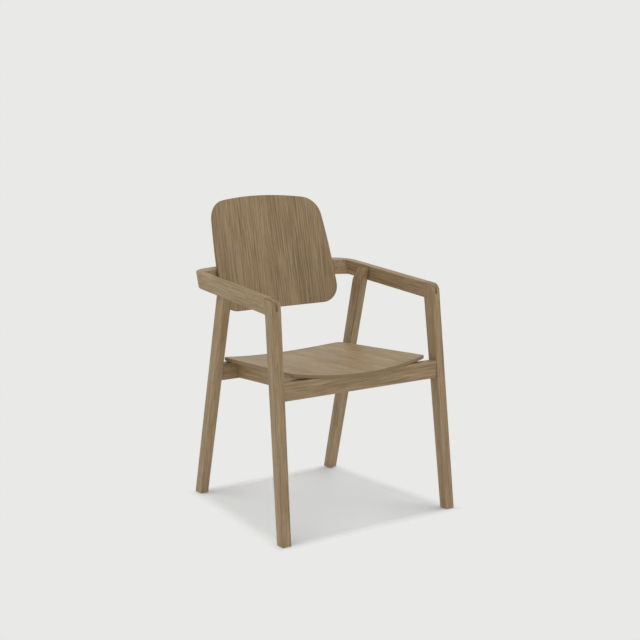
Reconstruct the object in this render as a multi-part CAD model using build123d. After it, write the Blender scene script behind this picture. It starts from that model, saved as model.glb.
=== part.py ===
from build123d import *
import os
from math import asin, atan, cos, degrees, radians, sin, sqrt, tan

# Wooden armchair: four slanted legs, a bow of two arms and a back rail, and bent plywood seat and back.
# Millimetres. The front faces -Y, +Z is up, the floor is z = 0 and left is -X.

# Legs
LEG_THICKNESS = 28.0            # across the chair
LEG_EDGE_RADIUS = 2.5
FRONT_FOOT_Y = -278.5           # middle of the foot on the floor
FRONT_FOOT_DEPTH = 31.0
FRONT_FOOT_SPLAY = 12.3         # the foot stands this far outside the arm
FRONT_TOP_Y = -210.0            # middle of the leg under the arm
FRONT_TOP_DEPTH = 40.0
REAR_FOOT_Y = 257.5
REAR_FOOT_DEPTH = 32.0
REAR_TOP_Y = 99.0              # middle of the leg where it meets the arm
REAR_TOP_DEPTH = 41.0
REAR_TIP_THICKNESS = 10.0       # the leg thins to this at the top of its lap on the arm
REAR_TIP_DROP = 6.0             # below the top of the arm
REAR_SCARF_RADIUS = 70.0        # where the thinning starts

# Bow: arms and back rail
ARM_HALF_WIDTH = 284.0          # outer face, at the front leg
ARM_TOE_IN = 0.55               # degrees, each arm turns in to the rear with its legs
ARM_THICKNESS = 28.0
ARM_HEIGHT = 43.5
ARM_FRONT_TOP_Z = 656.5         # top of the arm above the front leg
ARM_SLOPE = 4.0                 # degrees, up to the rear
ARM_NOSE_RADIUS = 24.0          # where the front leg turns into the arm
BOW_EDGE_BEVEL = 1.5
BOW_REAR_Y = 268.0              # rearmost point of the back rail, at its top
BOW_CORNER_RADIUS = 66.0        # outside
BOW_COVE_RADIUS = 7.0           # inside
BACK_RAIL_THICKNESS = 34.0
BACK_RAIL_RADIUS = 925.0        # rear face, in plan

# Back panel
RECLINE = 17.3                  # degrees from upright
BACK_THICKNESS = 10.0
BACK_BOTTOM_Z = 559.5
BACK_TOP_Z = 889.5
BACK_BOTTOM_HALF_WIDTH = 206.0
BACK_MIDDLE_HALF_WIDTH = 202.5
BACK_TOP_HALF_WIDTH = 188.0
BACK_TOP_CROWN = 16.0
BACK_BOTTOM_CROWN = 4.0
BACK_TOP_CORNER_RADIUS = 62.0
BACK_BOTTOM_CORNER_RADIUS = 55.0

# Seat panel
SEAT_FRONT_Z = 436.5            # top surface, middle of the front edge
SEAT_TILT = 2.9                 # degrees, down to the rear
SEAT_RADIUS = 1290.0            # hollow across the chair
SEAT_THICKNESS = 10.0
SEAT_FRONT_GAP = 30.0           # front corners inside the arms
SEAT_REAR_GAP = 18.5            # rear corners inside the rear legs
SEAT_FRONT_Y = -234.0           # front corners
SEAT_REAR_Y = 166.0             # rear corners
SEAT_FRONT_BOW = 22.0
SEAT_REAR_BOW = 45.0
SEAT_FRONT_CORNER_RADIUS = 6.0
SEAT_REAR_CORNER_RADIUS = 32.0
PANEL_EDGE_BEVEL = 1.5

# Seat frame
RAIL_HEIGHT = 50.0
RAIL_THICKNESS = 26.0
RAIL_EDGE_RADIUS = 2.0
FRONT_RAIL_TOP_Z = 436.0
REAR_RAIL_TOP_Z = 416.0
FRONT_RAIL_SETBACK = 1.5        # behind the front face of the leg, at the top of the rail
REAR_RAIL_SETBACK = 1.0         # behind the front face of the rear leg, at the foot of the rail
SIDE_RAIL_INSET = 58.0          # outer face inside the front corner of the seat
SIDE_RAIL_THICKNESS = 24.0
SIDE_RAIL_RISE = 1.5            # underside above the undersides of the front and rear rails

# Joints and fasteners
TENON_THICKNESS = 8.0
TENON_WIDTH = 26.0
TENON_LENGTH = 36.0
SHORT_TENON_LENGTH = 24.0
FORK_DEPTH = 28.0               # open slot in the head of the front leg, from the top of the arm
FORK_TENON_WIDTH = 20.0         # of the tenon in that slot, where it is let into the arm
LAP_TENON_RISE = 13.0           # above the underside of the arm
SCREW_DIAMETER = 6.0
SCREW_HEAD_DIAMETER = 12.0
SCREW_HEAD_HEIGHT = 4.0
SOCKET_WIDTH = 4.0              # across the flats of the hexagon
SOCKET_DEPTH = 2.5
INSERT_DIAMETER = 9.0
INSERT_LENGTH = 7.0
SEAT_SCREW_X = 85.0
SEAT_SCREW_GRIP = 16.0          # wood between the screw head and the seat panel
BACK_SCREW_X = (45.0, 120.0)
BACK_SCREW_GRIP = 20.0          # wood between the screw head and the back panel
PLUG_THICKNESS = 6.0
GLIDE_DIAMETER = 20.0
GLIDE_THICKNESS = 2.0
GLIDE_PIN_DIAMETER = 4.0
GLIDE_PIN_LENGTH = 12.0

# Clearances
LAP_GAP = 0.2                   # rear leg beside the arm
GLUE_GAP = 0.1                  # round a tenon, plug, pin or screw, and at its end
PANEL_GAP = 0.2                 # between a bent panel and the rail it lies on
HEAD_GAP = 1.0                  # round a screw head

REACH = 2000.0                  # longer than the chair, for trimming tools

# Places worked out from the sizes above
arm_rise = tan(radians(ARM_SLOPE))
side_turn = Pos(ARM_HALF_WIDTH, FRONT_TOP_Y) * Rot(0, 0, ARM_TOE_IN) * Pos(-ARM_HALF_WIDTH, -FRONT_TOP_Y)
arm_inner = ARM_HALF_WIDTH - ARM_THICKNESS      # of the arm and its legs, before they are turned in
rear_leg_outer = arm_inner - LAP_GAP
seat_front_half_width = arm_inner - SEAT_FRONT_GAP
seat_rear_half_width = arm_inner - LEG_THICKNESS - SEAT_REAR_GAP
side_rail_half_width = seat_front_half_width - SIDE_RAIL_INSET
lean = Vector(0, sin(radians(RECLINE)), cos(radians(RECLINE)))
bow_centre_y = BOW_REAR_Y - BACK_RAIL_RADIUS
rail_front_radius = BACK_RAIL_RADIUS - BACK_RAIL_THICKNESS / lean.Z
back_rear_radius = rail_front_radius / lean.Z - PANEL_GAP      # square to the lean


def arm_top_z(y):
    return ARM_FRONT_TOP_Z + (y - FRONT_TOP_Y) * arm_rise


def arm_under_z(y):
    return arm_top_z(y) - ARM_HEIGHT


front_leg_height = arm_under_z(FRONT_TOP_Y)
rear_leg_height = arm_under_z(REAR_TOP_Y)
bow_top_z = arm_top_z(BOW_REAR_Y)
splay = atan(FRONT_FOOT_SPLAY / front_leg_height)


def along(foot, top, height, z):
    """Value at height z on a straight line from the floor to the arm."""
    return foot + (top - foot) * z / height


def front_leg_front_y(z):
    return along(FRONT_FOOT_Y - FRONT_FOOT_DEPTH / 2, FRONT_TOP_Y - FRONT_TOP_DEPTH / 2, front_leg_height, z)


def front_leg_rear_y(z):
    return along(FRONT_FOOT_Y + FRONT_FOOT_DEPTH / 2, FRONT_TOP_Y + FRONT_TOP_DEPTH / 2, front_leg_height, z)


def rear_leg_front_y(z):
    return along(REAR_FOOT_Y - REAR_FOOT_DEPTH / 2, REAR_TOP_Y - REAR_TOP_DEPTH / 2, rear_leg_height, z)


def rear_leg_rear_y(z):
    return along(REAR_FOOT_Y + REAR_FOOT_DEPTH / 2, REAR_TOP_Y + REAR_TOP_DEPTH / 2, rear_leg_height, z)


front_rail_y = front_leg_front_y(FRONT_RAIL_TOP_Z) + FRONT_RAIL_SETBACK
rear_rail_y = rear_leg_front_y(REAR_RAIL_TOP_Z - RAIL_HEIGHT) + REAR_RAIL_SETBACK

# Seat frame of reference: origin in the middle of the front edge, Z square to the seat, Y to the rear
seat_plane = Plane(
    origin=(0, SEAT_FRONT_Y - SEAT_FRONT_BOW, SEAT_FRONT_Z),
    x_dir=(1, 0, 0),
    z_dir=(0, sin(radians(SEAT_TILT)), cos(radians(SEAT_TILT))))


# Shared shapes

def front_prism(points, y_low, y_high):
    """Solid from a front view outline of (x, z) points, between two Y planes."""
    face = make_face(Polyline(*[(x, y_low, z) for x, z in points], close=True))
    return extrude(face, amount=y_high - y_low, dir=(0, 1, 0))


def side_prism(points, x_low, x_high):
    """Solid from a side view outline of (y, z) points, between two X planes."""
    face = make_face(Polyline(*[(x_low, y, z) for y, z in points], close=True))
    return extrude(face, amount=x_high - x_low, dir=(1, 0, 0))


def rod(start, direction, diameter, length):
    """Round bar from a start point along a direction."""
    return extrude(Plane(origin=start, z_dir=direction) * Circle(diameter / 2), amount=length)


def round_long_edges(solid, radius, shortest):
    return fillet([edge for edge in solid.edges() if edge.length > shortest], radius)


def bevel_long_edges(solid, size, shortest):
    return chamfer([edge for edge in solid.edges() if edge.length > shortest], size)


def mirrored(solid):
    return mirror(solid, about=Plane.YZ)


def inner_plane(leg):
    """Plane of a right leg's inner face, its normal towards the middle of the chair."""
    inner = [face for face in leg.faces().filter_by(GeomType.PLANE) if face.normal_at().X < -0.9]
    return Plane(max(inner, key=lambda face: face.area))


def plane_x(plane, y, z):
    """X of the point of a plane at a given Y and Z."""
    normal, origin = plane.z_dir, plane.origin
    return origin.X - (normal.Y * (y - origin.Y) + normal.Z * (z - origin.Z)) / normal.X


def mirrored_plane(plane):
    origin, along_x, normal = [Vector(-v.X, v.Y, v.Z) for v in (plane.origin, plane.x_dir, plane.z_dir)]
    return Plane(origin=origin, x_dir=along_x, z_dir=normal)


def cut_both_ends(solid, plane, keep):
    """Cut a piece that spans the chair by a plane on its right and by the same plane on its left."""
    shorter = split(solid, bisect_by=plane, keep=keep)
    return split(shorter, bisect_by=mirrored_plane(plane), keep=keep)


class Tenon:
    """Loose tenon centred on a joint face, and the mortise for it. The plane's Z is along the tenon and its
    X across the thickness."""

    def __init__(self, plane, length, place=Location(), width=TENON_WIDTH):
        self.plane = plane
        self.length = length
        self.place = place
        self.width = width

    def block(self, gap):
        size = (TENON_THICKNESS + 2 * gap, self.width + 2 * gap, self.length + 2 * gap)
        return self.place * (self.plane * Box(*size))

    def solid(self):
        return self.block(0)

    def mortise(self):
        return self.block(GLUE_GAP)


class Fixing:
    """Screw through a rail into a threaded insert in a panel. The seat point lies on the rail's face under
    the panel, and the axis points into the panel."""

    def __init__(self, seat_point, axis, grip):
        self.seat = Vector(*seat_point)
        self.axis = Vector(*axis).normalized()
        self.grip = grip

    def at(self, distance):
        return self.seat + self.axis * distance

    def screw(self):
        shank = rod(self.at(-self.grip), self.axis, SCREW_DIAMETER, self.grip + PANEL_GAP + INSERT_LENGTH)
        head = rod(self.at(-self.grip), -self.axis, SCREW_HEAD_DIAMETER, SCREW_HEAD_HEIGHT)
        head_top = self.at(-self.grip - SCREW_HEAD_HEIGHT)
        hexagon = RegularPolygon(SOCKET_WIDTH / 2, 6, major_radius=False)
        socket = extrude(Plane(origin=head_top, z_dir=self.axis) * hexagon, amount=SOCKET_DEPTH)
        return shank + head - socket

    def insert(self):
        sleeve = rod(self.at(PANEL_GAP), self.axis, INSERT_DIAMETER, INSERT_LENGTH)
        return sleeve - rod(self.at(0), self.axis, SCREW_DIAMETER + 2 * GLUE_GAP, 2 * INSERT_LENGTH)

    def insert_hole(self):
        depth = PANEL_GAP + INSERT_LENGTH + GLUE_GAP
        return rod(self.at(-1), self.axis, INSERT_DIAMETER + 2 * GLUE_GAP, 1 + depth)

    def rail_hole(self):
        shank = rod(self.at(-self.grip), self.axis, SCREW_DIAMETER + 2 * GLUE_GAP, self.grip + 1)
        counterbore = rod(self.at(-self.grip), -self.axis, SCREW_HEAD_DIAMETER + 2 * HEAD_GAP, REACH)
        return shank + counterbore

    def plug_rod(self, depth):
        """Plug blank over the screw head, from a depth behind the rail's panel face."""
        diameter = SCREW_HEAD_DIAMETER + 2 * HEAD_GAP - 2 * GLUE_GAP
        return rod(self.at(-depth), -self.axis, diameter, 2 * PLUG_THICKNESS)


# Legs

def leg_blank(front_y, rear_y, height, outer_x):
    """Right leg between its front and rear lines in side view, longer than needed at both ends."""
    low, high = -2 * ARM_HEIGHT, height + 2 * ARM_HEIGHT
    outline = ((front_y(low), low), (rear_y(low), low), (rear_y(high), high), (front_y(high), high))
    blank = side_prism(outline, outer_x - LEG_THICKNESS, outer_x)
    return round_long_edges(blank, LEG_EDGE_RADIUS, height / 2)


def above_floor():
    align = (Align.CENTER, Align.CENTER, Align.MIN)
    return Pos(0, 0, GLIDE_THICKNESS) * Box(REACH, REACH, REACH, align=align)


def below_arm():
    low, high = -REACH / 2, REACH / 2
    outline = ((low, -REACH), (high, -REACH), (high, arm_under_z(high)), (low, arm_under_z(low)))
    return side_prism(outline, low, high)


def front_leg_head():
    """Top of the right front leg, before the end of the arm. A rounded nose joins its front and its top."""
    low = front_leg_height - ARM_HEIGHT
    front_top = front_leg_front_y(arm_top_z(FRONT_TOP_Y - FRONT_TOP_DEPTH / 2))
    rear_top = front_leg_rear_y(arm_top_z(FRONT_TOP_Y + FRONT_TOP_DEPTH / 2))
    corner = (front_top, arm_top_z(front_top))
    outline = (
        (front_leg_front_y(low), low), (front_leg_rear_y(low), low), (rear_top, arm_top_z(rear_top)), corner)
    blank = side_prism(outline, arm_inner, ARM_HALF_WIDTH)
    blank = fillet(blank.edges().filter_by(Axis.X).sort_by_distance((0, *corner))[0], ARM_NOSE_RADIUS)
    nose_arcs = blank.edges().filter_by(GeomType.CIRCLE)
    return fillet(nose_arcs, LEG_EDGE_RADIUS) - below_arm()


def fork_slot(gap):
    """Open slot down from the top of the right arm, in the middle of its thickness."""
    low, high = -REACH / 2, REACH / 2
    depth = FORK_DEPTH + gap
    outline = ((low, arm_top_z(low) - depth), (high, arm_top_z(high) - depth), (high, REACH), (low, REACH))
    middle = ARM_HALF_WIDTH - ARM_THICKNESS / 2
    half = TENON_THICKNESS / 2 + gap
    return side_prism(outline, middle - half, middle + half)


def front_leg():
    """Splayed outwards about the outer edge of the arm. Its head is an open fork in line with the arm."""
    blank = leg_blank(front_leg_front_y, front_leg_rear_y, front_leg_height, ARM_HALF_WIDTH)
    pivot = Axis((ARM_HALF_WIDTH, 0, front_leg_height), (0, 1, 0))
    post = blank.rotate(pivot, -degrees(splay)) & below_arm()
    fork = front_leg_head() - fork_slot(GLUE_GAP)
    return side_turn * (post + fork) & above_floor()


def rear_leg():
    """Upright seen from the front. The top thins in a curved scarf that laps the inside of the arm."""
    blank = leg_blank(rear_leg_front_y, rear_leg_rear_y, rear_leg_height, rear_leg_outer)
    inner = rear_leg_outer - LEG_THICKNESS
    tip_z = arm_top_z(REAR_TOP_Y) - REAR_TIP_DROP
    outline = (
        (inner, -1), (inner, rear_leg_height), (rear_leg_outer - REAR_TIP_THICKNESS, tip_z),
        (rear_leg_outer, tip_z), (rear_leg_outer, -1))
    front_view = make_face(Polyline(*[(x, -REACH / 2, z) for x, z in outline], close=True))
    bend = front_view.vertices().sort_by_distance((inner, -REACH / 2, rear_leg_height))[0]
    front_view = fillet(bend, REAR_SCARF_RADIUS)
    return side_turn * (blank & extrude(front_view, amount=REACH, dir=(0, 1, 0))) & above_floor()


# Bow of arms and back rail

def bow_plan(inset, radius, corner_radius):
    """Area inside the arms and the back rail, with rounded rear corners."""
    half_width = ARM_HALF_WIDTH - inset / cos(radians(ARM_TOE_IN))
    corners = []
    for side, y in ((-1, -REACH / 4), (1, -REACH / 4), (1, REACH / 4), (-1, REACH / 4)):
        corners.append((side * (half_width - (y - FRONT_TOP_Y) * tan(radians(ARM_TOE_IN))), y))
    strip = make_face(Polyline(*corners, close=True))
    area = strip & (Pos(0, bow_centre_y) * Circle(radius))
    return fillet([vertex for vertex in area.vertices() if vertex.Y > 0], corner_radius)


def outer_plan():
    return bow_plan(0, BACK_RAIL_RADIUS, BOW_CORNER_RADIUS)


def inner_plan():
    return bow_plan(ARM_THICKNESS, rail_front_radius, BOW_COVE_RADIUS)


def corner_middle(plan, corner_radius):
    """Middle of the rounding of a plan's right rear corner."""
    arcs = plan.edges().filter_by(GeomType.CIRCLE).filter_by(lambda arc: abs(arc.radius - corner_radius) < 1)
    return arcs.sort_by(Axis.X)[-1] @ 0.5


def sweep_up(plan, low_z, high_z):
    """Plan outline drawn at the top of the bow, swept along the lean between two heights."""
    shift = (low_z - bow_top_z) * lean.Y / lean.Z
    return extrude(Pos(0, shift, low_z) * plan, amount=(high_z - low_z) / lean.Z, dir=lean)


def bow_side_view():
    """Parallel top and underside."""
    low, high = -REACH / 2, REACH / 2
    outline = (
        (low, arm_under_z(low)), (high, arm_under_z(high)), (high, arm_top_z(high)), (low, arm_top_z(low)))
    return side_prism(outline, low, high)


def before_arm():
    """Everything on the right before the rear face of the front leg, where the arm ends."""
    high = ARM_FRONT_TOP_Z + ARM_HEIGHT
    outline = ((front_leg_rear_y(0), 0), (front_leg_rear_y(high), high), (-REACH, high), (-REACH, 0))
    return side_turn * side_prism(outline, 0, REACH)


def bow():
    """Arms and back rail in one. The sweep leans, so the arms stay upright and the back rail leans back."""
    low_z = front_leg_height - 2 * ARM_HEIGHT
    blank = sweep_up(outer_plan() - inner_plan(), low_z, bow_top_z + ARM_HEIGHT) & bow_side_view()
    bevelled = bevel_long_edges(blank, BOW_EDGE_BEVEL, 2 * ARM_HEIGHT)
    return bevelled - before_arm() - mirrored(before_arm())


def mitre_plane():
    """Cuts the right rear corner of the bow from the inside of the corner to the outside."""
    inside = corner_middle(inner_plan(), BOW_COVE_RADIUS)
    outside = corner_middle(outer_plan(), BOW_CORNER_RADIUS)
    diagonal = (outside - inside).normalized()
    middle = (inside + outside) * 0.5 + Vector(0, 0, bow_top_z)
    middle -= lean * ((bow_top_z - arm_top_z(middle.Y) + ARM_HEIGHT / 2) / lean.Z)
    return Plane(origin=middle, x_dir=diagonal, z_dir=diagonal.cross(lean))


# Panels

def seat_band(underside_only=False):
    """Hollow seat sheet before it is cut to its outline, or everything above its underside."""
    outer = SEAT_RADIUS + SEAT_THICKNESS + (PANEL_GAP if underside_only else 0)
    sheet = Pos(0, SEAT_RADIUS) * Circle(outer)
    if not underside_only:
        sheet -= Pos(0, SEAT_RADIUS) * Circle(SEAT_RADIUS)
    sheet &= Pos(0, SEAT_RADIUS / 4) * Rectangle(seat_front_half_width * 3, SEAT_RADIUS)
    start = seat_plane.from_local_coords((0, -REACH / 4, 0))
    section = Plane(origin=start, x_dir=(1, 0, 0), z_dir=-seat_plane.y_dir)
    return extrude(section * sheet, amount=-REACH)


def seat_underside_z(x):
    """Height of the underside in the seat's own frame."""
    radius = SEAT_RADIUS + SEAT_THICKNESS + PANEL_GAP
    return SEAT_RADIUS - sqrt(radius ** 2 - x ** 2)


def seat_panel():
    length = SEAT_REAR_Y - SEAT_FRONT_Y
    front, rear = SEAT_FRONT_BOW, SEAT_FRONT_BOW + length
    wide, narrow = seat_front_half_width, seat_rear_half_width
    outline = make_face([
        ThreePointArc((-wide, front), (0, 0), (wide, front)),
        Line((wide, front), (narrow, rear)),
        ThreePointArc((narrow, rear), (0, rear + SEAT_REAR_BOW), (-narrow, rear)),
        Line((-narrow, rear), (-wide, front))])
    middle_y = (front + rear) / 2
    outline = fillet([v for v in outline.vertices() if v.Y > middle_y], SEAT_REAR_CORNER_RADIUS)
    outline = fillet(outline.vertices().sort_by(Axis.Y)[:2], SEAT_FRONT_CORNER_RADIUS)
    cutter = extrude(seat_plane * outline, amount=REACH / 4, both=True)
    return bevel_long_edges(seat_band() & cutter, PANEL_EDGE_BEVEL, SEAT_THICKNESS * 1.2)


def back_panel():
    """Follows the front of the back rail up and down along its lean."""
    bottom = BACK_BOTTOM_Z + BACK_BOTTOM_CROWN
    top = BACK_TOP_Z - BACK_TOP_CROWN
    middle = (bottom + top) / 2
    wide, waist, narrow = BACK_BOTTOM_HALF_WIDTH, BACK_MIDDLE_HALF_WIDTH, BACK_TOP_HALF_WIDTH
    outline = make_face([
        ThreePointArc((-wide, bottom), (0, BACK_BOTTOM_Z), (wide, bottom)),
        ThreePointArc((wide, bottom), (waist, middle), (narrow, top)),
        ThreePointArc((narrow, top), (0, BACK_TOP_Z), (-narrow, top)),
        ThreePointArc((-narrow, top), (-waist, middle), (-wide, bottom))])
    outline = fillet([v for v in outline.vertices() if v.Y > middle], BACK_TOP_CORNER_RADIUS)
    outline = fillet(outline.vertices().sort_by(Axis.Y)[:2], BACK_BOTTOM_CORNER_RADIUS)
    cutter = extrude(Plane.XZ * outline, amount=REACH / 2, both=True)
    sheet = Circle(back_rear_radius) - Circle(back_rear_radius - BACK_THICKNESS)
    sheet &= Pos(0, back_rear_radius) * Rectangle(3 * BACK_BOTTOM_HALF_WIDTH, back_rear_radius)
    front_of_rail = Vector(0, bow_centre_y + rail_front_radius, bow_top_z)
    square_to_lean = Plane(origin=front_of_rail, x_dir=(1, 0, 0), z_dir=lean)
    section = square_to_lean * Pos(0, -back_rear_radius - PANEL_GAP) * sheet
    band = extrude(section, amount=BACK_TOP_Z - BACK_BOTTOM_Z, both=True)
    return bevel_long_edges(band & cutter, PANEL_EDGE_BEVEL, BACK_THICKNESS * 1.2)


# Seat frame

def cross_rail(front_y, top_z, leg):
    """Rail between a pair of legs. Its top is hollowed for the seat panel."""
    length = 2 * (ARM_HALF_WIDTH + FRONT_FOOT_SPLAY)
    blank = Box(length, RAIL_THICKNESS, RAIL_HEIGHT, align=(Align.CENTER, Align.MIN, Align.MAX))
    blank = round_long_edges(Pos(0, front_y, top_z) * blank, RAIL_EDGE_RADIUS, 4 * RAIL_HEIGHT)
    return cut_both_ends(blank, inner_plane(leg), Keep.TOP) - seat_band(underside_only=True)


def side_rail():
    front = front_rail_y + RAIL_THICKNESS
    height = RAIL_HEIGHT - SIDE_RAIL_RISE
    outline = (
        (front, FRONT_RAIL_TOP_Z - height), (rear_rail_y, REAR_RAIL_TOP_Z - height),
        (rear_rail_y, REAR_RAIL_TOP_Z), (front, FRONT_RAIL_TOP_Z))
    blank = side_prism(outline, side_rail_half_width - SIDE_RAIL_THICKNESS, side_rail_half_width)
    return round_long_edges(blank, RAIL_EDGE_RADIUS, 2 * RAIL_HEIGHT) - seat_band(underside_only=True)


# Tenons of the right side

def front_leg_tenon():
    """From the fork of the leg into the end of the arm, low enough to stay hidden there."""
    end_y = front_leg_rear_y(ARM_FRONT_TOP_Z - FORK_DEPTH)
    middle_z = arm_top_z(end_y) - FORK_DEPTH + FORK_TENON_WIDTH / 2
    middle = (ARM_HALF_WIDTH - ARM_THICKNESS / 2, end_y, middle_z)
    plane = Plane(origin=middle, x_dir=(1, 0, 0), z_dir=(0, 1, arm_rise))
    return Tenon(plane, TENON_LENGTH, side_turn, FORK_TENON_WIDTH)


def fork_filling():
    """The part of that tenon which fills the fork and is flush with the leg all round."""
    return side_turn * (front_leg_head() & fork_slot(0))


def rear_leg_tenon():
    """Across the lap, its width along the arm."""
    z = rear_leg_height + LAP_TENON_RISE
    middle = (rear_leg_outer, (rear_leg_front_y(z) + rear_leg_rear_y(z)) / 2, z)
    plane = Plane(origin=middle, x_dir=(0, -arm_rise, 1), z_dir=(1, 0, 0))
    return Tenon(plane, SHORT_TENON_LENGTH, side_turn)


def cross_rail_tenon(front_y, top_z, leg):
    y = front_y + RAIL_THICKNESS / 2
    z = top_z - RAIL_HEIGHT / 2
    middle = (plane_x(inner_plane(leg), y, z), y, z)
    return Tenon(Plane(origin=middle, x_dir=(0, 1, 0), z_dir=(1, 0, 0)), TENON_LENGTH)


def side_rail_tenon(y, top_z):
    middle = (side_rail_half_width - SIDE_RAIL_THICKNESS / 2, y, top_z - RAIL_HEIGHT / 2)
    return Tenon(Plane(origin=middle, x_dir=(1, 0, 0), z_dir=(0, 1, 0)), SHORT_TENON_LENGTH)


# Screws of the right side

def seat_fixing(rail_y):
    """Through the middle of a rail, square to the hollow of the seat."""
    local = seat_plane.to_local_coords(Vector(SEAT_SCREW_X, rail_y + RAIL_THICKNESS / 2, SEAT_FRONT_Z))
    turn = asin(SEAT_SCREW_X / (SEAT_RADIUS + SEAT_THICKNESS + PANEL_GAP))
    seat_point = seat_plane.from_local_coords((SEAT_SCREW_X, local.Y, seat_underside_z(SEAT_SCREW_X)))
    upward = seat_plane.z_dir * cos(turn) - seat_plane.x_dir * sin(turn)
    return Fixing(seat_point, upward, SEAT_SCREW_GRIP)


def back_fixing(x):
    """Square to the front of the back rail, at half its height."""
    turn = asin(x / rail_front_radius)
    point = Vector(x, bow_centre_y + rail_front_radius * cos(turn), bow_top_z)
    point -= lean * ((bow_top_z - arm_top_z(point.Y) + ARM_HEIGHT / 2) / lean.Z)
    inward = Vector(-sin(turn) * lean.Z, -cos(turn) * lean.Z, cos(turn) * lean.Y)
    return Fixing(point, inward, BACK_SCREW_GRIP)


# Feet

def foot_middle(leg):
    """X and Y of the middle of a leg's foot."""
    foot = leg.faces().sort_by(Axis.Z)[0].center()
    return foot.X, foot.Y


def glide(x, y):
    disc = rod((x, y, 0), (0, 0, 1), GLIDE_DIAMETER, GLIDE_THICKNESS)
    return disc + rod((x, y, 0), (0, 0, 1), GLIDE_PIN_DIAMETER, GLIDE_THICKNESS + GLIDE_PIN_LENGTH)


def glide_hole(x, y):
    depth = GLIDE_THICKNESS + GLIDE_PIN_LENGTH + GLUE_GAP
    return rod((x, y, 0), (0, 0, 1), GLIDE_PIN_DIAMETER + 2 * GLUE_GAP, depth)


# Assembly

def cut_holes(solid, tools, sides=1):
    """Cut tools drawn on the right side, and on the left side too for a piece that spans the chair."""
    for tool in tools:
        solid -= tool
        if sides == 2:
            solid -= mirrored(tool)
    return solid


def build_nodes():
    """Node name to its list of solids."""
    front, rear = front_leg(), rear_leg()
    tenons = {
        "front_leg_tenons": [front_leg_tenon()],
        "rear_leg_tenons": [rear_leg_tenon()],
        "front_rail_tenons": [cross_rail_tenon(front_rail_y, FRONT_RAIL_TOP_Z, front)],
        "rear_rail_tenons": [cross_rail_tenon(rear_rail_y, REAR_RAIL_TOP_Z, rear)],
        "side_rail_tenons": [
            side_rail_tenon(front_rail_y + RAIL_THICKNESS, FRONT_RAIL_TOP_Z),
            side_rail_tenon(rear_rail_y, REAR_RAIL_TOP_Z)],
        "corner_tenons": [Tenon(mitre_plane(), SHORT_TENON_LENGTH)]}
    cut = {name: [tenon.mortise() for tenon in joint] for name, joint in tenons.items()}
    front_screw, rear_screw = seat_fixing(front_rail_y), seat_fixing(rear_rail_y)
    seat_fixings = [front_screw, rear_screw]
    back_fixings = [back_fixing(x) for x in BACK_SCREW_X]
    front_glide, rear_glide = foot_middle(front), foot_middle(rear)

    whole_bow = bow()
    back_rail = cut_both_ends(whole_bow, mitre_plane(), Keep.BOTTOM)
    plugs = [fixing.plug_rod(BACK_RAIL_THICKNESS - PLUG_THICKNESS) & whole_bow for fixing in back_fixings]

    front_leg_holes = cut["front_rail_tenons"] + [glide_hole(*front_glide)]
    rear_leg_holes = cut["rear_leg_tenons"] + cut["rear_rail_tenons"] + [glide_hole(*rear_glide)]
    arm = split(whole_bow, bisect_by=mitre_plane(), keep=Keep.TOP)
    arm_holes = cut["front_leg_tenons"] + cut["rear_leg_tenons"] + cut["corner_tenons"]
    one_sided = {
        "front_leg": cut_holes(front, front_leg_holes),
        "rear_leg": cut_holes(rear, rear_leg_holes),
        "arm": cut_holes(arm, arm_holes),
        "side_rail": cut_holes(side_rail(), cut["side_rail_tenons"])}
    nodes = {}
    for name, solid in one_sided.items():
        nodes[name + "_left"] = [mirrored(solid)]
        nodes[name + "_right"] = [solid]

    front_rail = cross_rail(front_rail_y, FRONT_RAIL_TOP_Z, front)
    front_rail_holes = cut["front_rail_tenons"] + cut["side_rail_tenons"] + [front_screw.rail_hole()]
    rear_rail = cross_rail(rear_rail_y, REAR_RAIL_TOP_Z, rear)
    rear_rail_holes = cut["rear_rail_tenons"] + cut["side_rail_tenons"] + [rear_screw.rail_hole()]
    back_rail_holes = cut["corner_tenons"] + [fixing.rail_hole() for fixing in back_fixings]
    seat_holes = [fixing.insert_hole() for fixing in seat_fixings]
    back_holes = [fixing.insert_hole() for fixing in back_fixings]
    nodes["front_rail"] = [cut_holes(front_rail, front_rail_holes, sides=2)]
    nodes["rear_rail"] = [cut_holes(rear_rail, rear_rail_holes, sides=2)]
    nodes["back_rail"] = [cut_holes(back_rail, back_rail_holes, sides=2)]
    nodes["seat_panel"] = [cut_holes(seat_panel(), seat_holes, sides=2)]
    nodes["back_panel"] = [cut_holes(back_panel(), back_holes, sides=2)]

    groups = {name: [tenon.solid() for tenon in joint] for name, joint in tenons.items()}
    groups["front_leg_tenons"] = [front_leg_tenon().solid() + fork_filling()]
    groups["seat_screws"] = [fixing.screw() for fixing in seat_fixings]
    groups["seat_inserts"] = [fixing.insert() for fixing in seat_fixings]
    groups["back_screws"] = [fixing.screw() for fixing in back_fixings]
    groups["back_inserts"] = [fixing.insert() for fixing in back_fixings]
    groups["back_screw_plugs"] = plugs
    groups["foot_glides"] = [glide(*front_glide), glide(*rear_glide)]
    for name, solids in groups.items():
        nodes[name] = solids + [mirrored(solid) for solid in solids]
    return nodes


os.makedirs("parts", exist_ok=True)
for node, solids in build_nodes().items():
    pieces = [piece for solid in solids for piece in solid.solids()]
    export_step(pieces[0] if len(pieces) == 1 else Compound(children=pieces), f"parts/{node}.step")
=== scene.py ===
# %% [markdown]
# # A stained oak armchair
# The chair is a frame of solid oak: four slanted legs, two arms and a back rail that run round in
# one bow, and four rails under the seat. The seat and the back are sheets of bent plywood with an
# oak veneer. The measured solids come in first and stay where they are. Everything in this lesson
# is about how they look: the camera, the light, the floor, the wood and the small metal and plastic
# parts.

# %% Load the measured chair
import bpy
from math import cos, pi, radians, sin
from mathutils import Matrix, Vector


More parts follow.
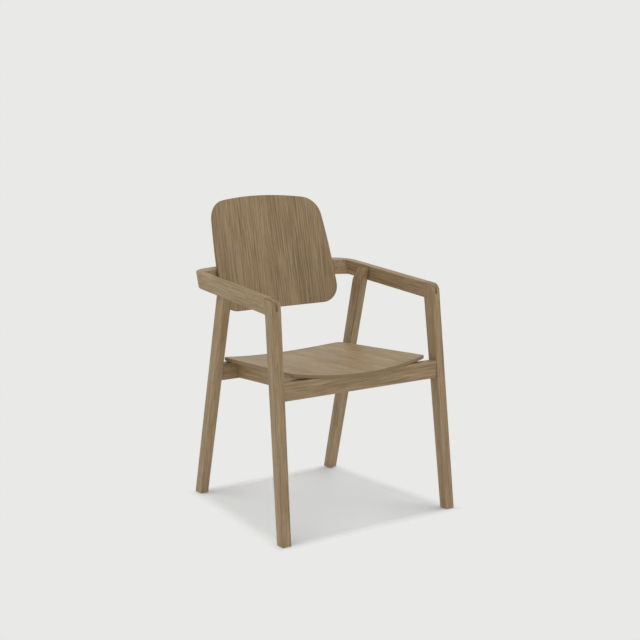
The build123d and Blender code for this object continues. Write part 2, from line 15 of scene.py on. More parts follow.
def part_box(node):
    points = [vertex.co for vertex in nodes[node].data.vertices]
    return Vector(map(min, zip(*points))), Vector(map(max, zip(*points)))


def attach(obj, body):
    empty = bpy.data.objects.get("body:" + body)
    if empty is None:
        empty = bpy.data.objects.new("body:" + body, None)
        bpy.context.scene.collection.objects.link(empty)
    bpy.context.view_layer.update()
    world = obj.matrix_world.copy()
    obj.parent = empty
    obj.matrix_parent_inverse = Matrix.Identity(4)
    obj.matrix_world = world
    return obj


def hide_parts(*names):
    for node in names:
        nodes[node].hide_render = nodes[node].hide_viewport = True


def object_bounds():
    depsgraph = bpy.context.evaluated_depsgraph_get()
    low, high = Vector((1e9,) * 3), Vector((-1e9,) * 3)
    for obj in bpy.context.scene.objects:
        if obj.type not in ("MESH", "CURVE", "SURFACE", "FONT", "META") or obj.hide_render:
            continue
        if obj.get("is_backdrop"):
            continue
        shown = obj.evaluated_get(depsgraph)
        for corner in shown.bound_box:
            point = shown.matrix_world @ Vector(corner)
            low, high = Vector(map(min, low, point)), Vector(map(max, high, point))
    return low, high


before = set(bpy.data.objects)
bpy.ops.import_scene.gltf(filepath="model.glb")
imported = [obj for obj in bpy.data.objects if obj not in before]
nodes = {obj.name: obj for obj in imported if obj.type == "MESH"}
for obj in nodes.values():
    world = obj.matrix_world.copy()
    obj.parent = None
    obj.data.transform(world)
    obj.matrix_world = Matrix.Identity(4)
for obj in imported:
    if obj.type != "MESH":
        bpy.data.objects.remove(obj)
cad_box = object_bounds()
MM = 0.001
size_mm = [round(length / MM) for length in cad_box[1] - cad_box[0]]
print("chair of", len(nodes), "nodes, width, depth and height in mm:", size_mm)

# %% [markdown]
# ## The camera
# A long lens far away keeps the legs nearly parallel, as in a catalogue picture. It could be placed
# by hand in the viewport. Here it is placed by the angle round the chair, the height above the
# horizon and the distance to one point that it looks at, because those three can be read off a
# picture and changed one at a time.

# %% Place the camera
LOOK_AT = Vector((-7.3, -44.4, 552.3)) * MM
CAMERA_TURN = radians(34.32)        # from straight in front, towards the left of the chair
CAMERA_RISE = radians(9.95)         # above the horizon
CAMERA_DISTANCE = 3515 * MM
CAMERA_LENS = 68.83                 # in millimetres, as Blender asks for it
CAMERA_SENSOR = 36                  # its width, in millimetres too

towards_camera = Vector((
    -sin(CAMERA_TURN) * cos(CAMERA_RISE),
    -cos(CAMERA_TURN) * cos(CAMERA_RISE),
    sin(CAMERA_RISE)))
bpy.ops.object.select_all(action="DESELECT")
bpy.ops.object.camera_add(location=LOOK_AT + towards_camera * CAMERA_DISTANCE)
camera = bpy.context.object
camera.rotation_euler = (-towards_camera).to_track_quat("-Z", "Y").to_euler()
camera.data.lens = CAMERA_LENS
camera.data.sensor_width = CAMERA_SENSOR
bpy.context.scene.camera = camera
bpy.context.scene.view_settings.view_transform = "Standard"
print("camera at", [round(value / MM) for value in camera.location], "mm")

# %% [markdown]
# ## Nodes and colours
# Every surface below is drawn by nodes, not by pictures. Three small helpers keep that readable.
# The first turns a hex colour, as a paint chart or an eyedropper gives it, into the linear values
# that the renderer works with. The second adds a node, sets it up and links it in one line. The
# third empties the tree of a new material or world, so that it holds only what is added here.

# %% Three helpers for all materials
def linear(hex_colour):
    """Linear red, green, blue and alpha of an sRGB hex colour such as #8A785C."""
    channels = [int(hex_colour[start:start + 2], 16) / 255 for start in (1, 3, 5)]
    return (*[c / 12.92 if c <= 0.04045 else ((c + 0.055) / 1.055) ** 2.4 for c in channels], 1)


def add(tree, kind, inputs=None, **settings):
    """Add a node with its settings. An input goes by name or number and is a value or a link."""
    node = tree.nodes.new("ShaderNode" + kind)
    for name, value in settings.items():
        setattr(node, name, value)
    for key, value in (inputs or {}).items():
        if isinstance(value, bpy.types.NodeSocket):
            tree.links.new(value, node.inputs[key])
        else:
            node.inputs[key].default_value = value
    return node


def new_tree(owner):
    """Empty node tree of a new material or world."""
    owner.use_nodes = True
    owner.node_tree.nodes.clear()
    return owner.node_tree


FACTOR, FIRST, SECOND, MIXED = 0, 6, 7, 2       # sockets of a Mix node that is set to colour
print("middle grey as linear values:", [round(value, 3) for value in linear("#808080")])

# %% [markdown]
# ## Light
# The chair stands in even studio light: a bright room all round, which reaches under the arms, and
# one broad lamp overhead. Together they light a level surface at a strength of one, so a colour
# comes out about as it is written. A bent paper backdrop would show a gradient where it curves, so
# the air behind the chair has the colour of the paper instead.

# %% Light the room
PAPER = "#E9E9E7"
ROOM_LIGHT = 0.8                    # of the light on a level surface, the lamp gives the rest
LAMP_SPREAD = radians(11)           # how wide the lamp looks from the chair, which softens shadows
LAMP_AWAY = 3.0                     # metres, though a sun lamp shines the same from anywhere

room = bpy.data.worlds.new("studio room")
bpy.context.scene.world = room
tree = new_tree(room)
ray = add(tree, "LightPath").outputs
camera_or_gloss = add(
    tree, "Math", {0: ray["Is Camera Ray"], 1: ray["Is Glossy Ray"]},
    operation="MAXIMUM").outputs[0]
shown = add(
    tree, "Math", {0: camera_or_gloss, 1: ray["Is Transmission Ray"]},
    operation="MAXIMUM").outputs[0]
lighting = add(tree, "Background", {"Color": (1, 1, 1, 1), "Strength": ROOM_LIGHT})
backdrop = add(tree, "Background", {"Color": linear(PAPER), "Strength": 1})
mixed = add(tree, "MixShader", {0: shown, 1: lighting.outputs[0], 2: backdrop.outputs[0]})
add(tree, "OutputWorld", {"Surface": mixed.outputs[0]})

bpy.ops.object.light_add(type="SUN", location=(0, 0, LAMP_AWAY))
lamp = bpy.context.object
lamp.name = "overhead lamp"
lamp.data.angle = LAMP_SPREAD
lamp.data.energy = (1 - ROOM_LIGHT) * pi        # a sun lamp of pi lights a level surface at one
print("room light", ROOM_LIGHT, "lamp", round(lamp.data.energy, 2))

# %% [markdown]
# ## Floor
# The floor is a flat sheet of pale paper. In a catalogue picture the paper is often cleared round
# the product, and only the shadow between the feet is kept. It could be drawn on the picture
# afterwards. Here the paper glows in its own colour outside four lines from foot to foot. Inside
# them it is matt and shows a true shadow. Its back is clear, so that a camera under the floor still
# sees the chair.

# %% Find the feet
SOLE = 3 * MM               # the legs end this near to the floor, on their glides


def foot(leg):
    """Middle of a leg's foot, on the floor."""
    sole = [vertex.co for vertex in nodes[leg].data.vertices if vertex.co.z < SOLE]
    across = [point.x for point in sole]
    along = [point.y for point in sole]
    return Vector((min(across) + max(across), min(along) + max(along), 0)) / 2


legs_in_a_ring = ("front_leg_left", "front_leg_right", "rear_leg_right", "rear_leg_left")
feet = [foot(leg) for leg in legs_in_a_ring]
print("feet at", [[round(value / MM) for value in spot.xy] for spot in feet], "mm")

# %% Lay the paper and measure inwards from the lines
FLOOR_SIZE = 50.0           # metres

bpy.ops.mesh.primitive_plane_add(size=FLOOR_SIZE)
floor = bpy.context.object
floor.name = "floor"
floor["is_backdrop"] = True
paper = bpy.data.materials.new("pale studio paper")
floor.data.materials.append(paper)
tree = new_tree(paper)
place = add(tree, "TexCoord").outputs["Object"]
gaps = []
for start, end in zip(feet, feet[1:] + feet[:1]):
    inward = Vector((start.y - end.y, end.x - start.x, 0)).normalized()
    reach = add(
        tree, "VectorMath", {0: place, 1: inward}, operation="DOT_PRODUCT").outputs["Value"]
    gap = add(tree, "Math", {0: reach, 1: start.dot(inward)}, operation="SUBTRACT").outputs[0]
    gaps.append(gap)
    print("line of", round((end - start).length / MM), "mm from foot to foot")
inside = gaps[0]
for gap in gaps[1:]:
    inside = add(tree, "Math", {0: inside, 1: gap}, operation="MINIMUM").outputs[0]

# %% Clear the paper outside the lines
SHADOW_END = 43 * MM        # the shadow ends this far outside the lines
SHADOW_FULL = 17 * MM       # and is whole this far inside them
PAPER_LAMP = 0.3            # light of a lamp for the paper alone, where the room's light is 1
LOW_LAMP = 1.0              # light of each of four more, low down beyond the feet

cleared = add(
    tree, "MapRange",
    {"Value": inside, "From Min": -SHADOW_END, "From Max": SHADOW_FULL, "To Min": 1, "To Max": 0},
    interpolation_type="SMOOTHSTEP").outputs[0]
light_on_paper = 1 + PAPER_LAMP + len(feet) * LOW_LAMP
dimmed = [channel / light_on_paper for channel in linear(PAPER)[:3]]
matt = add(tree, "BsdfDiffuse", {"Color": (*dimmed, 1)})
glow = add(tree, "Emission", {"Color": linear(PAPER), "Strength": 1})
sheet = add(tree, "MixShader", {0: cleared, 1: matt.outputs[0], 2: glow.outputs[0]})
from_below = add(tree, "NewGeometry").outputs["Backfacing"]
clear = add(tree, "BsdfTransparent")
one_sided = add(tree, "MixShader", {0: from_below, 1: sheet.outputs[0], 2: clear.outputs[0]})
add(tree, "OutputMaterial", {"Surface": one_sided.outputs[0]})
print("paper under", round(light_on_paper, 1), "times the light of the room and its lamp")

# %% [markdown]
# ## The shadow on the paper
# Two kinds of lamp draw the shadow between the feet. A small one over the chair lays down the
# shadow of the seat. Four wide ones, low down beyond the feet, add a dark stroke at the inside of
# each leg. They could light the whole scene, but then the wood would show them too. Light linking
# names what a lamp may light, so these reach the paper and leave the wood alone.

# %% Light the paper from above
PAPER_LAMP_HEIGHT = 1800 * MM
PAPER_LAMP_RADIUS = 200 * MM

lit_paper = bpy.data.collections.new("lit by the paper lamps")
lit_paper.objects.link(floor)
bpy.ops.object.light_add(type="POINT", location=(0, 0, PAPER_LAMP_HEIGHT))
paper_lamp = bpy.context.object
paper_lamp.name = "paper lamp"
paper_lamp.data.shadow_soft_size = PAPER_LAMP_RADIUS
watts_for_one = 4 * pi ** 2 * PAPER_LAMP_HEIGHT ** 2       # lights the floor below it at one
paper_lamp.data.energy = PAPER_LAMP * watts_for_one
paper_lamp.light_linking.receiver_collection = lit_paper
print("paper lamp of", round(paper_lamp.data.energy, 1), "watts")

# %% Light the paper from beyond the feet
LOW_LAMP_RISE = radians(25)         # above the horizon
LOW_LAMP_SPREAD = radians(60)       # how wide each looks from the chair
LAMPS_ASIDE = Vector((2, 1, 0))     # the low lamps stand more to the sides than the feet do

for number, spot in enumerate(feet, start=1):
    outward = (spot * LAMPS_ASIDE).normalized()
    towards_lamp = outward * cos(LOW_LAMP_RISE) + Vector((0, 0, sin(LOW_LAMP_RISE)))
    bpy.ops.object.light_add(type="SUN", location=LAMP_AWAY * towards_lamp)
    low_lamp = bpy.context.object
    low_lamp.name = "low paper lamp " + str(number)
    low_lamp.rotation_euler = towards_lamp.to_track_quat("Z", "Y").to_euler()
    low_lamp.data.angle = LOW_LAMP_SPREAD
    low_lamp.data.energy = LOW_LAMP * pi / sin(LOW_LAMP_RISE)
    low_lamp.light_linking.receiver_collection = lit_paper
    print(low_lamp.name, "towards", [round(value, 2) for value in towards_lamp])

# %% [markdown]
# ## Oak
# Oak is a coarse wood. Each year adds a ring that starts with a band of wide open pores and ends in
# dense pale wood. Sawn along the trunk, the rings become lines and the pores become fine dark
# dashes. The brown-grey stain sinks into the pores and into the ends of the boards, which turn
# darker. A matt lacquer on top leaves a soft sheen.
#
# A picture of wood could be wrapped round each piece, but then the grain would break at every
# edge. Here the wood is a solid pattern, as in a real log: rings round a pith line that runs along
# the piece, so faces, edges and ends agree with each other.

# %% Draw the rings and lines of a log
RING = 8 * MM               # real rings are 2 to 3 mm apart, drawn wider so that they show
RING_WOBBLE = 5             # how unevenly the rings grow
WAVE_TURN = 2 * pi / 20     # a wave texture of scale 1 repeats after this length
EARLY_WOOD = 0.45           # share of a ring that is porous
STREAK = 5 * MM             # lines of denser and looser wood
CLOUD = 35 * MM             # broad lighter and darker parts
LINE = 2.4 * MM             # long thin lines of dense wood, drawn wider so that they show
LINE_STRETCH = 4            # how much longer these are than the rest of the pattern
RING_SHADE, CLOUD_SHADE, LINE_SHADE = 0.1, 0.45, 0.5        # shares, where the streaks have 1
PALEST, DARKEST = 0.78, 1.26                                # levels of the sum


def oak_shade(tree, log):
    """Early wood and darkness of oak from log coordinates: X along the pith, already stretched."""
    rings = add(
        tree, "TexWave",
        {"Vector": log, "Scale": WAVE_TURN / RING, "Distortion": RING_WOBBLE,
         "Detail": 2, "Detail Scale": 0.3},
        wave_type="RINGS", rings_direction="X", wave_profile="SAW").outputs["Fac"]
    early = add(
        tree, "MapRange",
        {"Value": rings, "From Max": EARLY_WOOD, "To Min": 1, "To Max": 0}).outputs[0]
    streaks = add(
        tree, "TexNoise",
        {"Vector": log, "Scale": 1 / STREAK, "Detail": 2, "Roughness": 0.6,
         "Distortion": 0.25}).outputs["Fac"]
    clouds = add(tree, "TexNoise", {"Vector": log, "Scale": 1 / CLOUD, "Detail": 1}).outputs["Fac"]
    drawn_out = add(tree, "Mapping", {"Vector": log, "Scale": (1 / LINE_STRETCH, 1, 1)}).outputs[0]
    lines = add(
        tree, "TexNoise", {"Vector": drawn_out, "Scale": 1 / LINE, "Detail": 1}).outputs["Fac"]
    total = streaks
    for part, share in ((early, RING_SHADE), (clouds, CLOUD_SHADE), (lines, LINE_SHADE)):
        total = add(
            tree, "Math", {0: part, 1: share, 2: total}, operation="MULTIPLY_ADD").outputs[0]
    darkness = add(
        tree, "MapRange", {"Value": total, "From Min": PALEST, "From Max": DARKEST}).outputs[0]
    return early, darkness


print("ring", RING / MM, "mm, streak", STREAK / MM, "mm, line", LINE / MM, "mm")

# %% Open the pores and stain the wood
PORE = 1.0 * MM             # real pores are 0.3 mm wide, drawn wider so that they show
PORE_RIM, PORE_FLOOR = 0.54, 0.66           # levels of the noise
FEW_PORES, MANY_PORES = 0.2, 0.6            # in late and in early wood
LACQUERED, UNCOVERED = 0.5, 0.75            # roughness beside the pores and in them
PORE_OAK = "#5D482E"


def oak_figure(tree, log, pale, dark):
    """Colour, height and roughness of oak from log coordinates, as above."""
    early, darkness = oak_shade(tree, log)
    pores = add(tree, "TexNoise", {"Vector": log, "Scale": 1 / PORE, "Detail": 1}).outputs["Fac"]
    open_pores = add(
        tree, "MapRange",
        {"Value": pores, "From Min": PORE_RIM, "From Max": PORE_FLOOR}).outputs[0]
    pore_share = add(
        tree, "MapRange", {"Value": early, "To Min": FEW_PORES, "To Max": MANY_PORES}).outputs[0]
    dashes = add(tree, "Math", {0: open_pores, 1: pore_share}, operation="MULTIPLY").outputs[0]
    wood = add(
        tree, "Mix", {FACTOR: darkness, FIRST: linear(pale), SECOND: linear(dark)},
        data_type="RGBA")
    stained = add(
        tree, "Mix", {FACTOR: dashes, FIRST: wood.outputs[MIXED], SECOND: linear(PORE_OAK)},
        data_type="RGBA")
    height = add(tree, "Math", {0: 1.0, 1: dashes}, operation="SUBTRACT").outputs[0]
    roughness = add(
        tree, "MapRange", {"Value": dashes, "To Min": LACQUERED, "To Max": UNCOVERED}).outputs[0]
    return stained.outputs[MIXED], height, roughness


print("pore", PORE / MM, "mm, roughness", LACQUERED, "to", UNCOVERED)

# %% Give wood its surface
WOOD_IOR = 1.5
PORE_DEPTH = 0.25 * MM
PORE_STRENGTH = 0.5


def wood_surface(tree, colour, height, roughness):
    """Bare or lacquered wood. A thin lacquer follows the pores, which stay open."""
    bump = add(
        tree, "Bump", {"Height": height, "Strength": PORE_STRENGTH, "Distance": PORE_DEPTH})
    shader = add(
        tree, "BsdfPrincipled",
        {"Base Color": colour, "Roughness": roughness, "IOR": WOOD_IOR, "Normal": bump.outputs[0]})
    add(tree, "OutputMaterial", {"Surface": shader.outputs[0]})


print("pores up to", PORE_DEPTH / MM, "mm deep")

# %% [markdown]
# ## Boards
# Every board is cut from its own place in the log, so no two legs have the same lines. The grain
# runs along the piece because wood is only strong that way. One oak for the whole chair could do,
# but its lines would run straight across a rail. So each board has its own, and a Mapping node set
# to Texture lays the log along it: its place is the pith line, its turn is the direction of the
# grain.

# %% Make a board's own oak
GRAIN_STRETCH = 26          # the pattern is this much longer than wide
BOARD_FINENESS = 0.5        # slow-grown oak: all sizes of the pattern are times this
PALE_OAK, DARK_OAK = "#AC9470", "#7D6544"
END_GRAIN = "#BDB1A2"       # multiplied over the ends, which drink more stain
END_STARTS, END_WHOLE = 0.35, 0.95          # how squarely a face lies across the grain


def stained_oak(name, grain, pith):
    """Solid oak with its grain along a direction and the middle of its log at a point."""
    material = bpy.data.materials.new("stained oak, " + name)
    tree = new_tree(material)
    turn = Vector((1, 0, 0)).rotation_difference(grain).to_euler()
    place = add(tree, "TexCoord").outputs["Object"]
    log = add(
        tree, "Mapping",
        {"Vector": place, "Location": pith, "Rotation": turn,
         "Scale": Vector((GRAIN_STRETCH, 1, 1)) * BOARD_FINENESS},
        vector_type="TEXTURE").outputs[0]
    colour, height, roughness = oak_figure(tree, log, PALE_OAK, DARK_OAK)
    facing = add(
        tree, "VectorMath", {0: add(tree, "NewGeometry").outputs["Normal"], 1: grain.normalized()},
        operation="DOT_PRODUCT").outputs["Value"]
    endwise = add(tree, "Math", {0: facing}, operation="ABSOLUTE").outputs[0]
    end = add(
        tree, "MapRange",
        {"Value": endwise, "From Min": END_STARTS, "From Max": END_WHOLE}).outputs[0]
    darker = add(
        tree, "Mix", {FACTOR: end, FIRST: colour, SECOND: linear(END_GRAIN)},
        data_type="RGBA", blend_type="MULTIPLY")
    wood_surface(tree, darker.outputs[MIXED], height, roughness)
    return material


print("rings of the boards", RING * BOARD_FINENESS / MM, "mm apart")

# %% Cut the legs, the bow and the rails from the log
FRONT_LEG_LEAN = Vector((-12.3, 68.5, 613)) * MM        # foot to top of the right leg
REAR_LEG_LEAN = Vector((0, -158.5, 627)) * MM
OTHER_SIDE = Vector((-1, 1, 1))                         # mirrors a direction to the left
ARM_RISE = radians(4)                                   # arms climb to the rear
ALONG_ARM = Vector((0, cos(ARM_RISE), sin(ARM_RISE)))
REARWARDS = Vector((0, 1, 0))
SIDEWAYS = Vector((1, 0, 0))
PITH_AWAY = 75 * MM             # boards are cut beside the pith, never through it
PITH_SWAY = 0.6                 # how much the pith also lies above or below
FIRST_CUT, NEXT_CUT = radians(260), radians(67)         # round the log, from board to board

board_grain = {
    "front_leg_right": FRONT_LEG_LEAN,
    "front_leg_left": FRONT_LEG_LEAN * OTHER_SIDE,
    "rear_leg_right": REAR_LEG_LEAN,
    "rear_leg_left": REAR_LEG_LEAN * OTHER_SIDE,
    "arm_right": ALONG_ARM,
    "arm_left": ALONG_ARM,
    "side_rail_right": REARWARDS,
    "side_rail_left": REARWARDS,
    "back_rail": SIDEWAYS,
    "front_rail": SIDEWAYS,
    "rear_rail": SIDEWAYS,
    "back_screw_plugs": SIDEWAYS,
    "front_leg_tenons": ALONG_ARM,
}


def give(node, material):
    """Put a material on a node in place of its plain one."""
    nodes[node].data.materials.clear()
    nodes[node].data.materials.append(material)


def middle(node):
    """Middle of the box round a node."""
    low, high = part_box(node)
    return (low + high) / 2


for number, (name, grain) in enumerate(board_grain.items()):
    turn = FIRST_CUT + NEXT_CUT * number
    beside = Vector((cos(turn), sin(turn), PITH_SWAY * sin(2 * turn)))
    give(name, stained_oak(name, grain, middle(name) + beside * PITH_AWAY))
    print("oak on", name, "with grain along", [round(value, 2) for value in grain.normalized()])

# %% [markdown]
# ## Bent plywood
# Seat and back are thin sheets of wood glued in a curved press, with the grain of each sheet across
# the one below. The outer sheet is oak veneer. At the rim the layers show as fine lines. A flat
# projection would draw them askew on a bent panel, so the nodes unroll the panel first: the
# distance to the axis of the bend gives the depth in the sheet, and the angle round it gives the
# place across the sheet.

# %% Lay up the plies
PANEL_THICKNESS = 10 * MM
PLIES = 7
PLY = PANEL_THICKNESS / PLIES
PLY_BLUR = 0.1 * PLY        # softness of the line between two sheets
VENEER = 0.6 * MM           # thickness of the outer sheets
PLY_LONG, PLY_END = "#957C59", "#715B3E"        # sheets seen along and across their grain


def layered(tree, veneer_colour, depth):
    """Colour of plywood at a depth below the hollow face: veneer on both faces, plies between."""
    face = PANEL_THICKNESS / 2
    from_middle = add(tree, "Math", {0: depth, 1: face}, operation="SUBTRACT").outputs[0]
    off_middle = add(tree, "Math", {0: from_middle}, operation="ABSOLUTE").outputs[0]
    core = add(
        tree, "MapRange",
        {"Value": off_middle, "From Min": face - VENEER, "From Max": face - VENEER / 2,
         "To Min": 1, "To Max": 0}).outputs[0]
    turned = add(tree, "Math", {0: depth, 1: PLY}, operation="PINGPONG").outputs[0]
    crossed = add(
        tree, "MapRange",
        {"Value": turned, "From Min": PLY / 2 - PLY_BLUR,
         "From Max": PLY / 2 + PLY_BLUR}).outputs[0]
    plies = add(
        tree, "Mix", {FACTOR: crossed, FIRST: linear(PLY_LONG), SECOND: linear(PLY_END)},
        data_type="RGBA")
    colour = add(
        tree, "Mix", {FACTOR: core, FIRST: veneer_colour, SECOND: plies.outputs[MIXED]},
        data_type="RGBA")
    return colour.outputs[MIXED]


print(PLIES, "plies of", round(PLY / MM, 2), "mm")

# %% Veneer a bent panel
VENEER_STRETCH = 22         # veneer cut across the bulge of the rings shows shorter lines
KNIFE_AWAY = 60 * MM        # the veneer is sliced this far above the pith


def bent_veneer(name, grain, outward, hollow_radius, pith_aside, slant, pale, dark):
    """Veneered plywood bent round an axis along the grain. The outward side is the bulging one."""
    material = bpy.data.materials.new("stained oak veneer, " + name)
    tree = new_tree(material)
    outer_radius = hollow_radius + PANEL_THICKNESS
    bulge = max(vertex.co.dot(outward) for vertex in nodes[name].data.vertices)
    axis_place = outward * (bulge - outer_radius)
    axes = Matrix((grain, outward.cross(grain), outward)).transposed()
    place = add(tree, "TexCoord").outputs["Object"]
    bend = add(
        tree, "Mapping", {"Vector": place, "Location": axis_place, "Rotation": axes.to_euler()},
        vector_type="TEXTURE").outputs[0]
    side = add(tree, "SeparateXYZ", {0: bend}).outputs
    angle = add(tree, "Math", {0: side["Y"], 1: side["Z"]}, operation="ARCTAN2").outputs[0]
    straight = add(
        tree, "Math", {0: angle, 1: hollow_radius, 2: pith_aside},
        operation="MULTIPLY_ADD").outputs[0]
    across = add(
        tree, "Math", {0: side["X"], 1: slant, 2: straight}, operation="MULTIPLY_ADD").outputs[0]
    length = add(tree, "Math", {0: side["X"], 1: VENEER_STRETCH}, operation="DIVIDE").outputs[0]
    sheet = add(tree, "CombineXYZ", {"X": length, "Y": across, "Z": KNIFE_AWAY}).outputs[0]
    colour, height, roughness = oak_figure(tree, sheet, pale, dark)
    flat = add(tree, "CombineXYZ", {"Y": side["Y"], "Z": side["Z"]}).outputs[0]
    radius = add(tree, "VectorMath", {0: flat}, operation="LENGTH").outputs["Value"]
    depth = add(tree, "Math", {0: radius, 1: hollow_radius}, operation="SUBTRACT").outputs[0]
    wood_surface(tree, layered(tree, colour, depth), height, roughness)
    return material


print("veneer lines", VENEER_STRETCH, "times as long as wide")

# %% Veneer the back and the seat
RECLINE = radians(17.3)
BACK_HOLLOW = 921.3 * MM                        # radius of the front face
BACK_PITH = 250 * MM                            # how far aside the pith lay
BACK_SLANT = -0.05                              # veneer laid askew: drift along its length
PALE_BACK, DARK_BACK = "#A68E6B", "#786241"     # the veneer of the back took more stain
up_the_back = Vector((0, sin(RECLINE), cos(RECLINE)))
behind_the_back = Vector((0, cos(RECLINE), -sin(RECLINE)))
give("back_panel", bent_veneer(
    "back_panel", up_the_back, behind_the_back, BACK_HOLLOW,
    BACK_PITH, BACK_SLANT, PALE_BACK, DARK_BACK))

SEAT_TILT = radians(2.9)
SEAT_HOLLOW = 1290 * MM                         # radius of the top face
SEAT_PITH = 230 * MM
SEAT_SLANT = 0                                  # laid straight
PALE_SEAT, DARK_SEAT = "#AC946F", "#7E6745"
along_the_seat = Vector((0, cos(SEAT_TILT), -sin(SEAT_TILT)))
under_the_seat = Vector((0, -sin(SEAT_TILT), -cos(SEAT_TILT)))
give("seat_panel", bent_veneer(
    "seat_panel", along_the_seat, under_the_seat, SEAT_HOLLOW,
    SEAT_PITH, SEAT_SLANT, PALE_SEAT, DARK_SEAT))
print("veneer on the back and the seat")

# %% [markdown]
# ## Sanded edges
# Legs and rails have rounded edges in the measured solids. The arms, the back rail and the two
# panels have a narrow flat bevel there, which a sander would leave soft. A Bevel modifier could
# round it with more faces. Bending the shading is enough at this size: a copy of each piece gets
# smooth shading across the bevel, and weighted normals keep the large faces flat. The copy then
# stands in for the solid, with the same material.

# %% Soften the bevels of the bow and the panels
SAME_POINT = 0.01 * MM              # vertices as near as this are merged
SAME_PLANE = radians(0.5)           # faces that differ by less become one
SMOOTH_UP_TO = radians(50)          # a bevel turns by 45 degrees, the wall of a mortise by 90


def soften(node):
    """Copy of a node's mesh with soft bevels, in place of the node."""
    bpy.ops.object.select_all(action="DESELECT")
    piece = nodes[node].copy()
    piece.data = nodes[node].data.copy()
    piece.name = node + "_sanded"
    bpy.context.collection.objects.link(piece)
    piece.select_set(True)
    bpy.context.view_layer.objects.active = piece
    bpy.ops.mesh.customdata_custom_splitnormals_clear()
    bpy.ops.object.mode_set(mode="EDIT")
    bpy.ops.mesh.select_all(action="SELECT")
    bpy.ops.mesh.remove_doubles(threshold=SAME_POINT)
    bpy.ops.mesh.dissolve_limited(angle_limit=SAME_PLANE)
    bpy.ops.object.mode_set(mode="OBJECT")
    bpy.ops.object.shade_smooth_by_angle(angle=SMOOTH_UP_TO)
    weighted = piece.modifiers.new("weighted normals", "WEIGHTED_NORMAL")
    weighted.keep_sharp = True
    bpy.ops.object.modifier_apply(modifier=weighted.name)
    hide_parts(node)
    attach(piece, "root")
    print("sanded", node, "with", len(piece.data.polygons), "faces")


for name in ("arm_left", "arm_right", "back_rail"):
    soften(name)
for name in ("seat_panel", "back_panel"):
    soften(name)

# %% [markdown]
# ## Hidden joints and small hardware
# Loose beech tenons hold the rest of the frame together. Zinc plated screws run from the rails into
# brass inserts in the panels, and a plastic glide is nailed under each foot. Most of it is out of
# sight and could stay plain, but it shows when the chair is taken apart. So each gets its own
# surface: beech with its short flecks, a cloudy zinc coat, turned brass and finely grained moulded
# plastic.

# %% Plane the beech tenons
FLECK = 1.5 * MM            # wider than real flecks, so that they show
FLECK_STRETCH = 5           # they are this much longer than wide
FLECK_STARTS, FLECK_WHOLE = 0.5, 0.7        # levels of the noise
BEECH_ROUGHNESS = 0.65
BEECH_PALE, BEECH_FLECK = "#D2AE84", "#B08A62"


def beech():
    """Planed beech: even and bare, with short darker flecks."""
    material = bpy.data.materials.new("planed beech")
    tree = new_tree(material)
    place = add(tree, "TexCoord").outputs["Object"]
    log = add(tree, "Mapping", {"Vector": place, "Scale": (1, 1, 1 / FLECK_STRETCH)}).outputs[0]
    flecks = add(tree, "TexNoise", {"Vector": log, "Scale": 1 / FLECK, "Detail": 2}).outputs["Fac"]
    share = add(
        tree, "MapRange",
        {"Value": flecks, "From Min": FLECK_STARTS, "From Max": FLECK_WHOLE}).outputs[0]
    wood = add(
        tree, "Mix", {FACTOR: share, FIRST: linear(BEECH_PALE), SECOND: linear(BEECH_FLECK)},
        data_type="RGBA")
    wood_surface(tree, wood.outputs[MIXED], flecks, BEECH_ROUGHNESS)
    return material


tenon_wood = beech()
for name in nodes:
    if name.endswith("tenons") and name not in board_grain:
        give(name, tenon_wood)
        print("beech on", name)

# %% Plate the screws and turn the inserts
CLOUDINESS = 0.1            # roughness, more or less than the middle
METAL_STRENGTH = 0.2
FINE_DEPTH = 0.05 * MM


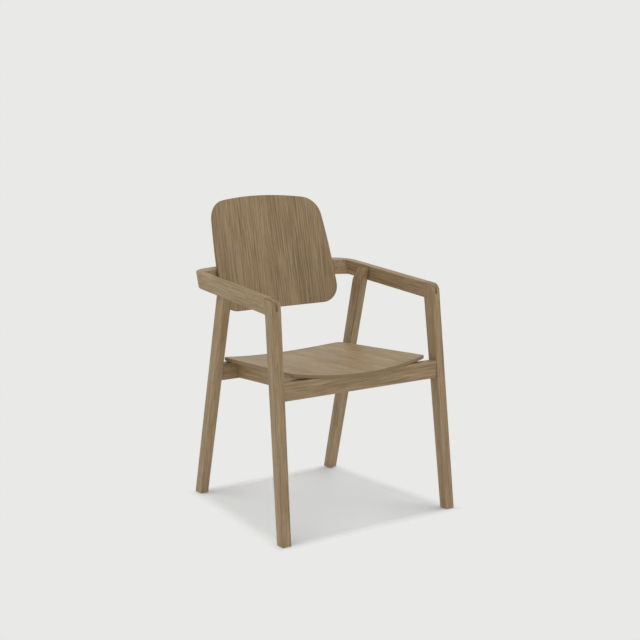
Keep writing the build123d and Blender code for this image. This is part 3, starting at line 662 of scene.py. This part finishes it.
def cloudy_metal(name, colour, worn, cloud_size, roughness):
    """Metal that is a little cloudy, from tumbling in the plating drum or from turning."""
    material = bpy.data.materials.new(name)
    tree = new_tree(material)
    place = add(tree, "TexCoord").outputs["Object"]
    cloud = add(
        tree, "TexNoise", {"Vector": place, "Scale": 1 / cloud_size, "Detail": 4}).outputs["Fac"]
    metal = add(
        tree, "Mix", {FACTOR: cloud, FIRST: linear(colour), SECOND: linear(worn)},
        data_type="RGBA")
    rough = add(
        tree, "MapRange",
        {"Value": cloud, "To Min": roughness - CLOUDINESS,
         "To Max": roughness + CLOUDINESS}).outputs[0]
    bump = add(
        tree, "Bump", {"Height": cloud, "Strength": METAL_STRENGTH, "Distance": FINE_DEPTH})
    shader = add(
        tree, "BsdfPrincipled",
        {"Base Color": metal.outputs[MIXED], "Metallic": 1, "Roughness": rough,
         "Normal": bump.outputs[0]})
    add(tree, "OutputMaterial", {"Surface": shader.outputs[0]})
    return material


zinc = cloudy_metal("zinc plated steel", "#B9BCC0", "#9DA0A4", 1.5 * MM, 0.35)
brass = cloudy_metal("turned brass", "#C9A45C", "#B08B46", 0.8 * MM, 0.3)
for panel in ("seat", "back"):
    give(panel + "_screws", zinc)
    give(panel + "_inserts", brass)
    print("zinc on the screws of the", panel, "and brass on its inserts")

# %% Mould the glides
MOULD_GRAIN = 0.4 * MM      # coarser than the real grain, so that it shows
MOULD_STRENGTH = 0.4
PLASTIC_DARK, PLASTIC_LIGHT = "#2A2724", "#383430"
POLYAMIDE_ROUGHNESS, POLYAMIDE_IOR = 0.6, 1.53


def glide_plastic():
    """Moulded polyamide: near black, with the fine grain of a spark-eroded mould."""
    material = bpy.data.materials.new("moulded polyamide")
    tree = new_tree(material)
    place = add(tree, "TexCoord").outputs["Object"]
    grain = add(
        tree, "TexNoise", {"Vector": place, "Scale": 1 / MOULD_GRAIN, "Detail": 2}).outputs["Fac"]
    colour = add(
        tree, "Mix", {FACTOR: grain, FIRST: linear(PLASTIC_DARK), SECOND: linear(PLASTIC_LIGHT)},
        data_type="RGBA")
    bump = add(
        tree, "Bump", {"Height": grain, "Strength": MOULD_STRENGTH, "Distance": FINE_DEPTH})
    shader = add(
        tree, "BsdfPrincipled",
        {"Base Color": colour.outputs[MIXED], "Roughness": POLYAMIDE_ROUGHNESS,
         "IOR": POLYAMIDE_IOR, "Normal": bump.outputs[0]})
    add(tree, "OutputMaterial", {"Surface": shader.outputs[0]})
    return material


give("foot_glides", glide_plastic())
print("materials in all:", len([material for material in bpy.data.materials if material.users]))

# %% [markdown]
# ## Last check
# The looks must not change the size of the chair, so the box of what is shown is set beside the
# box of the measured solids.

# %% Compare the sizes and finish
shown_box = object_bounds()
beyond = [round(value / MM, 2) for value in shown_box[1] - cad_box[1]]
print("size beyond the solids in mm:", beyond)
